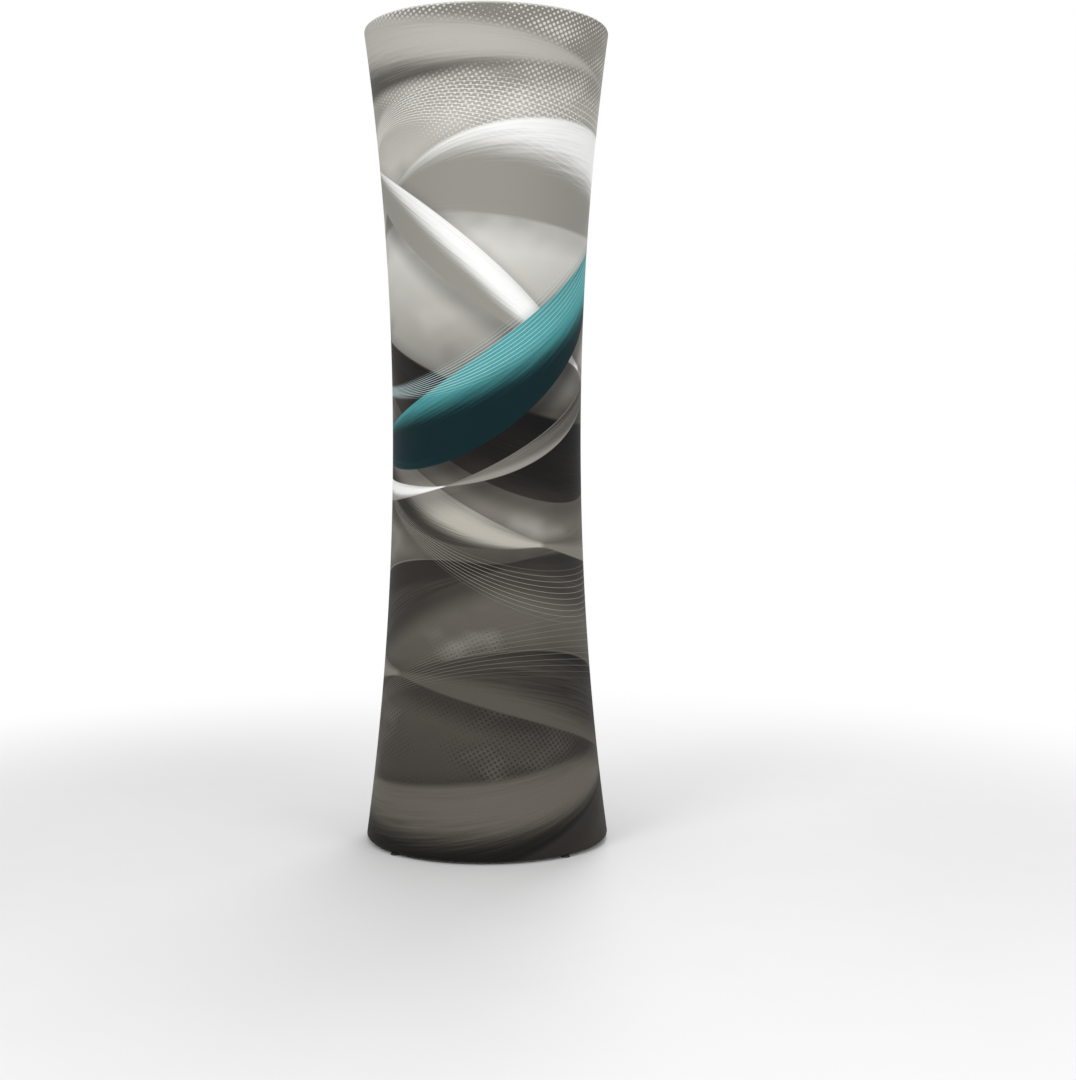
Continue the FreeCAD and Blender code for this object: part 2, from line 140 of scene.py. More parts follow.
def edit_whole(piece):
    """Opens a piece in edit mode with everything in it selected."""
    select_only(piece)
    bpy.ops.object.mode_set(mode="EDIT")
    bpy.ops.mesh.select_mode(type="VERT")
    bpy.ops.mesh.select_all(action="SELECT")


def select_faces(piece, wanted):
    """In edit mode, selects the faces for which wanted(centre, normal) is true."""
    mesh = bmesh.from_edit_mesh(piece.data)
    bpy.ops.mesh.select_mode(type="FACE")
    for face in mesh.faces:
        face.select_set(wanted(face.calc_center_median(), face.normal))
    bmesh.update_edit_mesh(piece.data)


def finish_piece(piece, material, replaces=()):
    if material is not None:
        piece.data.materials.clear()
        piece.data.materials.append(material)
    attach(piece, "root")
    if replaces:
        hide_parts(*replaces)


def linear(red, green, blue):
    """A colour picked in sRGB, from 0 to 255, as the shader reads it."""
    def channel(value):
        value = value / 255
        return value / 12.92 if value <= 0.04045 else ((value + 0.055) / 1.055) ** 2.4
    return (channel(red), channel(green), channel(blue), 1.0)


class Nodes:
    """Short ways to add and join shader nodes in one tree."""

    def __init__(self, tree):
        self.tree = tree

    def add(self, kind, inputs=None, **settings):
        node = self.tree.nodes.new(kind)
        for name, setting in settings.items():
            setattr(node, name, setting)
        for socket, source in (inputs or {}).items():
            self.feed(node.inputs[socket], source)
        return node

    def feed(self, socket, source):
        if isinstance(source, bpy.types.NodeSocket):
            self.tree.links.new(source, socket)
        elif isinstance(source, bpy.types.Node):
            self.tree.links.new(source.outputs[0], socket)
        else:
            socket.default_value = source

    def math(self, operation, first, second=0.0, third=0.0):
        node = self.tree.nodes.new("ShaderNodeMath")
        node.operation = operation
        for socket, source in zip(node.inputs, (first, second, third)):
            self.feed(socket, source)
        return node.outputs[0]

    def mix(self, share, first, second):
        node = self.tree.nodes.new("ShaderNodeMix")
        node.data_type = "RGBA"
        self.feed(node.inputs["Factor"], share)
        self.feed(node.inputs[6], first)
        self.feed(node.inputs[7], second)
        return node.outputs[2]

    def smooth(self, amount, low, high, out_low=0.0, out_high=1.0):
        """Amount mapped smoothly from low..high to out_low..out_high and held beyond."""
        node = self.tree.nodes.new("ShaderNodeMapRange")
        node.interpolation_type = "SMOOTHSTEP"
        names = ("Value", "From Min", "From Max", "To Min", "To Max")
        for name, source in zip(names, (amount, low, high, out_low, out_high)):
            self.feed(node.inputs[name], source)
        return node.outputs[0]

    def smooth_line(self, amount, low, high):
        """Amount mapped straight from low..high to 0..1."""
        node = self.tree.nodes.new("ShaderNodeMapRange")
        for name, source in (("Value", amount), ("From Min", low), ("From Max", high)):
            self.feed(node.inputs[name], source)
        return node.outputs[0]

    def noise(self, vector, scale, detail=2.0, roughness=0.5):
        node = self.add("ShaderNodeTexNoise", {"Vector": vector})
        node.inputs["Scale"].default_value = scale
        node.inputs["Detail"].default_value = detail
        node.inputs["Roughness"].default_value = roughness
        return node.outputs["Fac"]


def new_group(name, sockets_in, sockets_out):
    """An empty shader node group. Gives a helper for its tree, its inputs and its output node."""
    group = bpy.data.node_groups.new(name, "ShaderNodeTree")
    for label, kind, default in sockets_in:
        socket = group.interface.new_socket(name=label, in_out="INPUT", socket_type=kind)
        if default is not None:
            socket.default_value = default
    for label, kind in sockets_out:
        group.interface.new_socket(name=label, in_out="OUTPUT", socket_type=kind)
    nodes = Nodes(group)
    source = nodes.add("NodeGroupInput")
    put = {socket.name: socket for socket in source.outputs if socket.name}
    return nodes, put, nodes.add("NodeGroupOutput")


FLOAT, COLOR, VECTOR = "NodeSocketFloat", "NodeSocketColor", "NodeSocketVector"


WAVE_SOCKETS = (
    ("Colour", COLOR, (0.5, 0.5, 0.5, 1.0)),
    ("Across", FLOAT, 0.0),
    ("Up", FLOAT, 0.0),
    ("Centre", FLOAT, 1.0),
    ("Slope", FLOAT, 0.3),
    ("Wave", FLOAT, 0.1),
    ("Phase", FLOAT, 0.0),
)


def above_wave(nodes, put):
    """Metres above a line that climbs by Slope and sways by Wave."""
    turn = nodes.math("MULTIPLY_ADD", put["Across"], WAVES_ROUND, put["Phase"])
    wave = nodes.math("MULTIPLY", nodes.math("SINE", turn), put["Wave"])
    line = nodes.math("MULTIPLY_ADD", put["Across"], put["Slope"], put["Centre"])
    return nodes.math("SUBTRACT", put["Up"], nodes.math("ADD", line, wave))


def ribbon_group():
    """A printed satin ribbon that waves and twists across the cloth, over what is printed before.

    Across and Up are metres on the cloth. The ribbon narrows where it turns edge on, and shows
    its front colours on one side of that turn and its back colours on the other.
    """
    nodes, put, result = new_group(
        "Printed ribbon",
        [
            *WAVE_SOCKETS,
            ("Half Width", FLOAT, 0.15),
            ("Twist", FLOAT, 2.0),
            ("Twist Phase", FLOAT, 0.0),
            ("Front Low", COLOR, (0.2, 0.2, 0.2, 1.0)),
            ("Front High", COLOR, (0.8, 0.8, 0.8, 1.0)),
            ("Back Low", COLOR, (0.1, 0.1, 0.1, 1.0)),
            ("Back High", COLOR, (0.4, 0.4, 0.4, 1.0)),
            ("Edge", FLOAT, 0.004),
            ("Shadow", FLOAT, 0.5),
        ],
        [("Colour", COLOR)],
    )
    offset = above_wave(nodes, put)
    roll = nodes.math("MULTIPLY_ADD", put["Across"], put["Twist"], put["Twist Phase"])
    facing = nodes.math("COSINE", roll)
    open_share = nodes.math("SQRT", nodes.math("MULTIPLY_ADD", facing, facing, 0.012))
    width = nodes.math("MULTIPLY", put["Half Width"], open_share)
    share = nodes.math("DIVIDE", offset, width)
    side = nodes.math("SUBTRACT", nodes.math("ABSOLUTE", offset), width)
    inside = nodes.smooth(side, nodes.math("MULTIPLY", put["Edge"], -1.0), 0.0, 1.0, 0.0)

    below = nodes.math("SUBTRACT", nodes.math("ABSOLUTE", nodes.math("ADD", offset, 0.035)), width)
    shade = nodes.smooth(below, -0.02, 0.085, put["Shadow"], 0.0)
    shadowed = nodes.mix(shade, put["Colour"], (0.006, 0.005, 0.005, 1.0))

    bow = nodes.math("MULTIPLY_ADD", share, 1.15, roll)
    glow = nodes.math("MULTIPLY_ADD", nodes.math("SINE", bow), 0.5, 0.5)
    crease = nodes.math("SINE", nodes.math("MULTIPLY_ADD", share, 3.4, nodes.math("MULTIPLY", roll, 2.0)))
    glow = nodes.math("MULTIPLY_ADD", crease, 0.2, glow)
    streaks = nodes.add("ShaderNodeCombineXYZ", {"X": nodes.math("MULTIPLY", put["Across"], 1.3)})
    nodes.feed(streaks.inputs["Y"], nodes.math("MULTIPLY", share, 7.0))
    nodes.feed(streaks.inputs["Z"], put["Centre"])
    thread = nodes.noise(streaks, 3.0, 5.0, 0.62)
    glow = nodes.math("ADD", glow, nodes.math("MULTIPLY_ADD", thread, 0.62, -0.31))
    glow = nodes.math("POWER", nodes.smooth(glow, 0.08, 1.08), 1.45)
    front = nodes.mix(glow, put["Front Low"], put["Front High"])
    back = nodes.mix(glow, put["Back Low"], put["Back High"])
    satin = nodes.mix(nodes.smooth(facing, -0.04, 0.04), back, front)
    rim = nodes.smooth(share, 0.90, 0.985, 0.0, 0.65)
    satin = nodes.mix(rim, satin, put["Front High"])
    nodes.feed(result.inputs["Colour"], nodes.mix(inside, shadowed, satin))
    return nodes.tree


def hairline_group():
    """A sheaf of fine printed lines that fan out and close up again along a wave."""
    nodes, put, result = new_group(
        "Printed hairlines",
        [
            *WAVE_SOCKETS,
            ("Half Width", FLOAT, 0.1),
            ("Fan", FLOAT, 2.0),
            ("Lines", FLOAT, 8.0),
            ("Weight", FLOAT, 0.0016),
            ("Ink", COLOR, (0.9, 0.9, 0.9, 1.0)),
            ("Strength", FLOAT, 0.8),
        ],
        [("Colour", COLOR)],
    )
    offset = above_wave(nodes, put)
    spread = nodes.math("SINE", nodes.math("MULTIPLY", put["Across"], put["Fan"]))
    width = nodes.math("MULTIPLY", put["Half Width"], nodes.math("MULTIPLY_ADD", spread, 0.42, 0.58))
    share = nodes.math("DIVIDE", offset, width)
    step = nodes.math("MULTIPLY", share, nodes.math("MULTIPLY", put["Lines"], 0.5))
    near = nodes.math("ABSOLUTE", nodes.math("SUBTRACT", nodes.math("FRACT", step), 0.5))
    pitch = nodes.math("DIVIDE", nodes.math("MULTIPLY", width, 2.0), put["Lines"])
    away = nodes.math("MULTIPLY", near, pitch)
    mask = nodes.smooth(away, nodes.math("MULTIPLY", put["Weight"], 0.4), put["Weight"], 1.0, 0.0)
    within = nodes.smooth(nodes.math("ABSOLUTE", share), 0.35, 1.0, 1.0, 0.0)
    mask = nodes.math("MULTIPLY", nodes.math("MULTIPLY", mask, within), put["Strength"])
    nodes.feed(result.inputs["Colour"], nodes.mix(mask, put["Colour"], put["Ink"]))
    return nodes.tree


def halftone_group():
    """A screen of printed dots on a turned grid. Their size follows Tone, from 0 to 1."""
    nodes, put, result = new_group(
        "Printed halftone",
        [
            ("Colour", COLOR, (0.5, 0.5, 0.5, 1.0)),
            ("Across", FLOAT, 0.0),
            ("Up", FLOAT, 0.0),
            ("Pitch", FLOAT, 0.016),
            ("Tone", FLOAT, 0.5),
            ("Ink", COLOR, (0.9, 0.9, 0.9, 1.0)),
            ("Strength", FLOAT, 0.8),
        ],
        [("Colour", COLOR)],
    )
    lean = math.radians(30)
    apart = []
    for across, up in ((math.cos(lean), math.sin(lean)), (-math.sin(lean), math.cos(lean))):
        along = nodes.math("MULTIPLY_ADD", put["Up"], up, nodes.math("MULTIPLY", put["Across"], across))
        cell = nodes.math("FRACT", nodes.math("DIVIDE", along, put["Pitch"]))
        apart.append(nodes.math("POWER", nodes.math("SUBTRACT", cell, 0.5), 2.0))
    distance = nodes.math("SQRT", nodes.math("ADD", *apart))
    radius = nodes.math("MULTIPLY", put["Tone"], 0.46)
    gap = nodes.math("SUBTRACT", distance, radius)
    mask = nodes.smooth(gap, -0.05, 0.01, put["Strength"], 0.0)
    nodes.feed(result.inputs["Colour"], nodes.mix(mask, put["Colour"], put["Ink"]))
    return nodes.tree


def knit_group():
    """The fine face of the stretch knit, from metres across and up the cloth."""
    nodes, put, result = new_group(
        "Stretch knit",
        [("Across", FLOAT, 0.0), ("Up", FLOAT, 0.0), ("Pitch", FLOAT, 1.1 * MM)],
        [("Height", FLOAT), ("Speckle", FLOAT)],
    )
    across, up, pitch = (put[name] for name in ("Across", "Up", "Pitch"))
    full = 2 * math.pi
    column = nodes.math("SINE", nodes.math("DIVIDE", nodes.math("MULTIPLY", across, full), pitch))
    slant = nodes.math("MULTIPLY", nodes.math("ABSOLUTE", column), 1.2)
    row = nodes.math("DIVIDE", nodes.math("MULTIPLY", up, full * 1.4), pitch)
    loops = nodes.math("SINE", nodes.math("ADD", row, slant))
    height = nodes.math("MULTIPLY_ADD", loops, 0.25, nodes.math("MULTIPLY_ADD", column, 0.25, 0.5))
    place = nodes.add("ShaderNodeCombineXYZ", {"X": across, "Y": up})
    speckle = nodes.noise(place, 320.0, 3.0, 0.8)
    nodes.feed(result.inputs["Height"], height)
    nodes.feed(result.inputs["Speckle"], speckle)
    return nodes.tree


def wear_group():
    """Cloudy unevenness for a hard surface: a value round 0.5 and a finer one for scratches."""
    nodes, put, result = new_group(
        "Handling marks",
        [("Position", VECTOR, None), ("Cloud Scale", FLOAT, 8.0), ("Line Scale", FLOAT, 300.0)],
        [("Cloud", FLOAT), ("Lines", FLOAT)],
    )
    cloud = nodes.noise(put["Position"], 8.0, 3.0)
    nodes.feed(cloud.node.inputs["Scale"], put["Cloud Scale"])
    drawn = nodes.add("ShaderNodeMapping", {"Vector": put["Position"]})
    drawn.inputs["Scale"].default_value = (1.0, 1.0, 0.03)
    lines = nodes.noise(drawn, 300.0, 3.0, 0.7)
    nodes.feed(lines.node.inputs["Scale"], put["Line Scale"])
    nodes.feed(result.inputs["Cloud"], cloud)
    nodes.feed(result.inputs["Lines"], lines)
    return nodes.tree


GROUPS = {}


def group_node(nodes, name, inputs):
    makers = {
        "ribbon": ribbon_group,
        "hairlines": hairline_group,
        "halftone": halftone_group,
        "knit": knit_group,
        "wear": wear_group,
    }
    if name not in GROUPS:
        GROUPS[name] = makers[name]()
    node = nodes.tree.nodes.new("ShaderNodeGroup")
    node.node_tree = GROUPS[name]
    for socket, source in inputs.items():
        nodes.feed(node.inputs[socket], source)
    return node


def new_material(name):
    material = bpy.data.materials.new(name)
    material.use_nodes = True
    nodes = Nodes(material.node_tree)
    return material, nodes, material.node_tree.nodes["Principled BSDF"]


def bump(nodes, shader, height, distance, strength=1.0, under=None):
    node = nodes.add("ShaderNodeBump", {"Height": height})
    node.inputs["Distance"].default_value = distance
    node.inputs["Strength"].default_value = strength
    if under is not None:
        nodes.feed(node.inputs["Normal"], under)
    nodes.feed(shader.inputs["Normal"], node)
    return node.outputs["Normal"]


def cloth_place(nodes):
    """Metres across and up the cloth, from the map that follows its surface."""
    uv = nodes.add("ShaderNodeUVMap", uv_map="cloth_metres")
    split = nodes.add("ShaderNodeSeparateXYZ", {"Vector": uv.outputs[0]})
    return split.outputs["X"], split.outputs["Y"]


# The printed ground, from the floor up: height in metres and colour.
GROUND = (
    (0.00, (50, 47, 43)),
    (0.45, (76, 72, 66)),
    (1.05, (106, 102, 94)),
    (1.38, (142, 138, 129)),
    (1.62, (88, 85, 79)),
    (1.95, (178, 176, 169)),
    (2.25, (224, 222, 216)),
    (2.75, (166, 163, 154)),
    (3.05, (134, 131, 123)),
)

WHITE_SATIN = ((150, 148, 141), (255, 255, 253), (70, 67, 62), (150, 147, 140))
GREY_SATIN = ((84, 81, 76), (186, 183, 176), (60, 57, 53), (128, 125, 117))
TEAL_SATIN = ((6, 34, 39), (84, 166, 169), (6, 18, 21), (48, 108, 113))
DARK_SATIN = ((12, 10, 10), (84, 79, 73), (10, 9, 9), (52, 48, 44))
SMOKE_SATIN = ((34, 31, 29), (132, 127, 117), (24, 22, 21), (88, 84, 77))
EARTH_SATIN = ((20, 18, 16), (104, 99, 91), (18, 16, 15), (72, 68, 63))
MIST_SATIN = ((62, 59, 54), (186, 182, 172), (48, 45, 41), (132, 128, 119))

# Each ribbon: centre, slope, wave, phase, half width, twist, twist phase, colours, edge, shadow.
# Later ones lie over earlier ones.
RIBBONS = (
    (2.86, -0.22, 0.10, 0.5, 0.17, 1.1, 0.9, GREY_SATIN, 0.050, 0.20),
    (2.34, 0.30, 0.15, 2.1, 0.20, 1.5, 5.6, WHITE_SATIN, 0.016, 0.30),
    (0.20, 0.16, 0.08, 5.0, 0.19, 1.2, 0.4, EARTH_SATIN, 0.030, 0.35),
    (0.58, -0.24, 0.10, 0.8, 0.16, 1.7, 2.2, SMOKE_SATIN, 0.010, 0.55),
    (0.95, 0.26, 0.12, 2.2, 0.17, 1.4, 4.6, MIST_SATIN, 0.008, 0.65),
    (1.30, -0.20, 0.12, 4.4, 0.12, 2.1, 1.0, MIST_SATIN, 0.006, 0.50),
    (2.12, -0.38, 0.14, 3.3, 0.11, 2.4, 0.3, WHITE_SATIN, 0.006, 0.45),
    (1.64, -0.12, 0.16, 3.9, 0.16, 1.3, 2.9, DARK_SATIN, 0.006, 0.60),
    (1.80, 0.36, 0.17, 5.2, 0.17, 1.6, 6.0, TEAL_SATIN, 0.005, 0.65),
    (1.52, 0.30, 0.14, 4.7, 0.045, 2.9, 2.0, WHITE_SATIN, 0.004, 0.45),
)
RIBBON_INPUTS = ("Centre", "Slope", "Wave", "Phase", "Half Width", "Twist", "Twist Phase")
SATIN_INPUTS = ("Front Low", "Front High", "Back Low", "Back High")

# Each screen of dots: the two levels it grows between, its tilt, ink and strength.
DOT_SCREENS = (
    (2.25, 2.95, 0.35, (246, 245, 241), 0.70),
    (1.15, 0.35, -0.30, (30, 28, 26), 0.55),
)

# Each sheaf of lines: centre, slope, wave, phase, half width, fan, lines, weight, ink, strength.
HAIRLINES = (
    (2.58, 0.26, 0.20, 2.5, 0.22, 2.1, 18.0, 0.0016, (250, 250, 247), 0.75),
    (1.98, 0.34, 0.20, 5.0, 0.15, 2.6, 14.0, 0.0014, (214, 240, 240), 0.80),
    (1.16, -0.22, 0.15, 4.2, 0.14, 2.3, 12.0, 0.0014, (176, 172, 163), 0.55),
    (0.62, 0.20, 0.12, 1.6, 0.18, 1.9, 14.0, 0.0014, (140, 136, 127), 0.45),
)
HAIRLINE_INPUTS = ("Centre", "Slope", "Wave", "Phase", "Half Width", "Fan", "Lines", "Weight")


def ground_colour(nodes, across, up):
    """The clouded ground of the print. Gives its colour and the cloud's value."""
    ramp = nodes.add("ShaderNodeValToRGB", {"Fac": nodes.smooth_line(up, GROUND[0][0], GROUND[-1][0])})
    stops = ramp.color_ramp.elements
    while len(stops) < len(GROUND):
        stops.new(0.5)
    for stop, (height, ink) in zip(stops, GROUND):
        stop.position = height / GROUND[-1][0]
        stop.color = linear(*ink)
    place = nodes.add("ShaderNodeCombineXYZ", {"X": across, "Y": nodes.math("MULTIPLY", up, 1.7)})
    cloud = nodes.noise(place, 1.4, 3.0, 0.55)
    bright = nodes.smooth(cloud, 0.50, 0.78, 0.0, 0.55)
    dim = nodes.smooth(cloud, 0.46, 0.22, 0.0, 0.55)
    colour = nodes.mix(bright, ramp.outputs["Color"], linear(226, 224, 217))
    colour = nodes.mix(dim, colour, linear(46, 43, 40))
    return colour, cloud


def print_colour(nodes, across, up):
    """The printed picture: satin ribbons, dot screens and fine lines over a shaded ground."""
    colour, cloud = ground_colour(nodes, across, up)
    for low, high, tilt, ink, strength in DOT_SCREENS:
        level = nodes.math("MULTIPLY_ADD", across, tilt, up)
        tone = nodes.math("MULTIPLY", nodes.smooth(level, low, high), nodes.smooth(cloud, 0.36, 0.62))
        inputs = {"Colour": colour, "Across": across, "Up": up, "Tone": tone}
        inputs.update({"Ink": linear(*ink), "Strength": strength})
        colour = group_node(nodes, "halftone", inputs).outputs["Colour"]
    for row in RIBBONS:
        *shape, satin, edge, shadow = row
        inputs = dict(zip(RIBBON_INPUTS, shape))
        inputs.update(zip(SATIN_INPUTS, (linear(*ink) for ink in satin)))
        inputs.update({"Colour": colour, "Across": across, "Up": up, "Edge": edge, "Shadow": shadow})
        colour = group_node(nodes, "ribbon", inputs).outputs["Colour"]
    for row in HAIRLINES:
        *shape, ink, strength = row
        inputs = dict(zip(HAIRLINE_INPUTS, shape))
        inputs.update({"Colour": colour, "Across": across, "Up": up})
        inputs.update({"Ink": linear(*ink), "Strength": strength})
        colour = group_node(nodes, "hairlines", inputs).outputs["Colour"]
    return colour


def printed_material(settings, half_cloth):
    """The outer face of the cover: print, knit, a painted highlight along the top ring, the seam with
    painted shade in its groove, stitches and a soft sheen.
    """
    material, nodes, shader = new_material("printed_stretch_knit")
    across, up = cloth_place(nodes)
    colour = print_colour(nodes, across, up)
    knit = group_node(nodes, "knit", {"Across": across, "Up": up, "Pitch": settings.knit_pitch})
    grain = nodes.smooth(knit.outputs["Speckle"], 0.3, 0.7, 0.86, 1.10)
    grained = nodes.add("ShaderNodeMix", data_type="RGBA", blend_type="MULTIPLY")
    grained.inputs["Factor"].default_value = 1.0
    nodes.feed(grained.inputs[6], colour)
    nodes.feed(grained.inputs[7], grain)
    # Painted highlight: the colour turns pale along the top ring's crest, as light from above would make
    # it.
    top_highlighted = nodes.mix(painted_top_highlight(nodes, up), grained.outputs[2], linear(236, 235, 230))
    # The seam is a groove in the bump, and the dark line it gets in the colour is painted shade in that
    # groove.
    seam = nodes.smooth(beside_seam(nodes, across), 0.5 * MM, 1.6 * MM, 1.0, 0.0)
    seam_shade_painted = nodes.mix(nodes.math("MULTIPLY", seam, 0.7), top_highlighted, linear(22, 21, 20))
    thread = stitches(nodes, across, up, settings, half_cloth)
    stitched = nodes.mix(thread, seam_shade_painted, linear(176, 174, 168))
    nodes.feed(shader.inputs["Base Color"], stitched)
    rough = nodes.smooth(knit.outputs["Speckle"], 0.25, 0.75, 0.84, 0.72)
    nodes.feed(shader.inputs["Roughness"], rough)
    shader.inputs["Specular IOR Level"].default_value = 0.12
    shader.inputs["Sheen Weight"].default_value = 0.03
    shader.inputs["Sheen Roughness"].default_value = 0.5
    fine = bump(nodes, shader, knit.outputs["Height"], 0.12 * MM, 0.5)
    relief = nodes.math("SUBTRACT", thread, nodes.math("MULTIPLY", seam, 2.0))
    bump(nodes, shader, relief, 0.5 * MM, 1.0, under=fine)
    return material


def beside_seam(nodes, across):
    """Metres from the line at the back where the sheet's two edges meet."""
    return nodes.math("SUBTRACT", HALF_ROUND, nodes.math("ABSOLUTE", across))


def painted_top_highlight(nodes, up):
    """Share of a painted highlight: a pale band along the crest where the cloth turns over the top ring, as
    if lit from above. The bottom ring gets none.
    """
    crest = (POLE_BEND - WRAP) * RING_ANGLE + WRAP * (math.pi / 2 + RING_ANGLE)
    away = nodes.math("ABSOLUTE", nodes.math("SUBTRACT", up, WAIST_HEIGHT + crest))
    return nodes.smooth(away, 14 * MM, 23 * MM, 0.6, 0.0)


def stitches(nodes, across, up, settings, half_cloth):
    """Mask of the thread: two rows beside the zip, and two round each hem's turned edge."""
    from_waist = nodes.math("ABSOLUTE", nodes.math("SUBTRACT", up, WAIST_HEIGHT))
    from_edge = nodes.math("SUBTRACT", half_cloth, from_waist)
    thread = 0.0
    for distance, margin, along in (
        (beside_seam(nodes, across), settings.stitch_margin, up),
        (from_edge, settings.hem_stitch_margin, across),
    ):
        dash = nodes.math("FRACT", nodes.math("DIVIDE", along, settings.stitch_length))
        gap = nodes.math("ABSOLUTE", nodes.math("SUBTRACT", dash, 0.5))
        stitch = nodes.smooth(gap, 0.34, 0.42, 1.0, 0.0)
        for offset in (margin, margin + settings.stitch_row_gap):
            away = nodes.math("ABSOLUTE", nodes.math("SUBTRACT", distance, offset))
            row = nodes.smooth(away, 0.2 * MM, 0.6 * MM, 1.0, 0.0)
            thread = nodes.math("MAXIMUM", thread, nodes.math("MULTIPLY", row, stitch))
    return thread


def lining_material(settings):
    """The unprinted inner face: pale knit with a faint ghost of the print."""
    material, nodes, shader = new_material("unprinted_knit_back")
    across, up = cloth_place(nodes)
    ghost, _ = ground_colour(nodes, across, up)
    colour = nodes.mix(0.25, linear(205, 204, 200), ghost)
    knit = group_node(nodes, "knit", {"Across": across, "Up": up, "Pitch": settings.knit_pitch})
    nodes.feed(shader.inputs["Base Color"], colour)
    shader.inputs["Roughness"].default_value = 0.85
    bump(nodes, shader, knit.outputs["Height"], 0.15 * MM, 0.6)
    return material


def handling_marks(nodes, cloud_scale, line_scale):
    place = nodes.add("ShaderNodeTexCoord").outputs["Object"]
    inputs = {"Position": place, "Cloud Scale": cloud_scale, "Line Scale": line_scale}
    return group_node(nodes, "wear", inputs)


def tube_material():
    """Satin anodised aluminium tube with faint drawing lines and handling marks."""
    material, nodes, shader = new_material("satin_anodised_tube")
    wear = handling_marks(nodes, 9.0, 420.0)
    tone = nodes.smooth(wear.outputs["Cloud"], 0.3, 0.7)
    nodes.feed(shader.inputs["Base Color"], nodes.mix(tone, linear(176, 178, 180), linear(205, 206, 208)))
    shader.inputs["Metallic"].default_value = 0.9
    nodes.feed(shader.inputs["Roughness"], nodes.smooth(wear.outputs["Lines"], 0.3, 0.7, 0.30, 0.46))
    bump(nodes, shader, wear.outputs["Lines"], 0.02 * MM, 0.5)
    return material


def button_material():
    """Bright plated steel, with a little tarnish."""
    material, nodes, shader = new_material("plated_button_steel")
    wear = handling_marks(nodes, 160.0, 900.0)
    tone = nodes.smooth(wear.outputs["Cloud"], 0.3, 0.7)
    nodes.feed(shader.inputs["Base Color"], nodes.mix(tone, linear(150, 148, 144), linear(206, 206, 205)))
    shader.inputs["Metallic"].default_value = 1.0
    nodes.feed(shader.inputs["Roughness"], nodes.smooth(wear.outputs["Lines"], 0.3, 0.7, 0.18, 0.34))
    return material


def rubber_material():
    material, nodes, shader = new_material("moulded_foot_rubber")
    wear = handling_marks(nodes, 60.0, 900.0)
    tone = nodes.smooth(wear.outputs["Cloud"], 0.3, 0.7)
    nodes.feed(shader.inputs["Base Color"], nodes.mix(tone, linear(28, 28, 28), linear(46, 45, 44)))
    nodes.feed(shader.inputs["Roughness"], nodes.smooth(tone, 0.0, 1.0, 0.68, 0.85))
    bump(nodes, shader, wear.outputs["Cloud"], 0.1 * MM, 0.4)
    return material


def tape_material():
    """Woven zip tape: a fine herringbone in dark thread."""
    material, nodes, shader = new_material("woven_zip_tape")
    place = nodes.add("ShaderNodeTexCoord").outputs["Object"]
    split = nodes.add("ShaderNodeSeparateXYZ", {"Vector": place})
    across = nodes.math("FRACT", nodes.math("DIVIDE", split.outputs["X"], 2.4 * MM))
    fold = nodes.math("ABSOLUTE", nodes.math("SUBTRACT", across, 0.5))
    rows = nodes.math("MULTIPLY_ADD", fold, 5.0, nodes.math("DIVIDE", split.outputs["Z"], 0.16 * MM))
    weave = nodes.math("MULTIPLY_ADD", nodes.math("SINE", rows), 0.5, 0.5)
    nodes.feed(shader.inputs["Base Color"], nodes.mix(weave, linear(24, 24, 25), linear(52, 52, 53)))
    shader.inputs["Roughness"].default_value = 0.85
    bump(nodes, shader, weave, 0.15 * MM, 0.7)
    return material


def nylon_material():
    material, nodes, shader = new_material("zip_coil_nylon")
    wear = handling_marks(nodes, 40.0, 900.0)
    tone = wear.outputs["Cloud"]
    nodes.feed(shader.inputs["Base Color"], nodes.mix(tone, linear(24, 24, 24), linear(50, 50, 50)))
    shader.inputs["Roughness"].default_value = 0.38
    bump(nodes, shader, wear.outputs["Lines"], 0.02 * MM, 0.4)
    return material


def enamel_material():
    """Black enamel on the slider, worn to metal along its raised edges."""
    material, nodes, shader = new_material("black_zip_enamel")
    wear = handling_marks(nodes, 220.0, 900.0)
    pointed = nodes.add("ShaderNodeNewGeometry").outputs["Pointiness"]
    uneven = nodes.math("MULTIPLY", wear.outputs["Cloud"], 0.12)
    edge = nodes.smooth(nodes.math("ADD", pointed, uneven), 0.60, 0.66)
    nodes.feed(shader.inputs["Base Color"], nodes.mix(edge, linear(27, 27, 28), linear(128, 126, 122)))
    nodes.feed(shader.inputs["Metallic"], edge)
    shader.inputs["Roughness"].default_value = 0.34
    return material


def floor_material(settings):
    """Pale floor that keeps the tower's shadow and fades to the white of the sky far off."""
    material, nodes, shader = new_material("pale_floor")
    place = nodes.add("ShaderNodeTexCoord").outputs["Object"]
    tone = nodes.noise(place, 3.0, 3.0)
    low = tuple(0.97 * channel for channel in settings.floor_colour) + (1.0,)
    nodes.feed(shader.inputs["Base Color"], nodes.mix(tone, low, tuple(settings.floor_colour) + (1.0,)))
    shader.inputs["Roughness"].default_value = 0.6
    far = nodes.add("ShaderNodeVectorMath", {0: place}, operation="LENGTH").outputs["Value"]
    fade = nodes.smooth(far, settings.shadow_reach * 0.4, settings.shadow_reach)
    white = nodes.add("ShaderNodeEmission")
    blend = nodes.add("ShaderNodeMixShader")
    nodes.feed(blend.inputs[0], nodes.math("MULTIPLY", fade, white_to_camera(nodes)))
    nodes.feed(blend.inputs[1], shader)
    nodes.feed(blend.inputs[2], white)
    nodes.feed(material.node_tree.nodes["Material Output"].inputs["Surface"], blend)
    return material


def white_to_camera(nodes):
    """1 for what the camera sees straight, mirrored or through glass, and 0 for the light itself."""
    path = nodes.add("ShaderNodeLightPath")
    seen = nodes.math("MAXIMUM", path.outputs["Is Camera Ray"], path.outputs["Is Glossy Ray"])
    return nodes.math("MAXIMUM", seen, path.outputs["Is Transmission Ray"])


def metres(name, description, default):
    """A length among the settings of a piece."""
    return bpy.props.FloatProperty(name=name, description=description, default=default, unit="LENGTH")


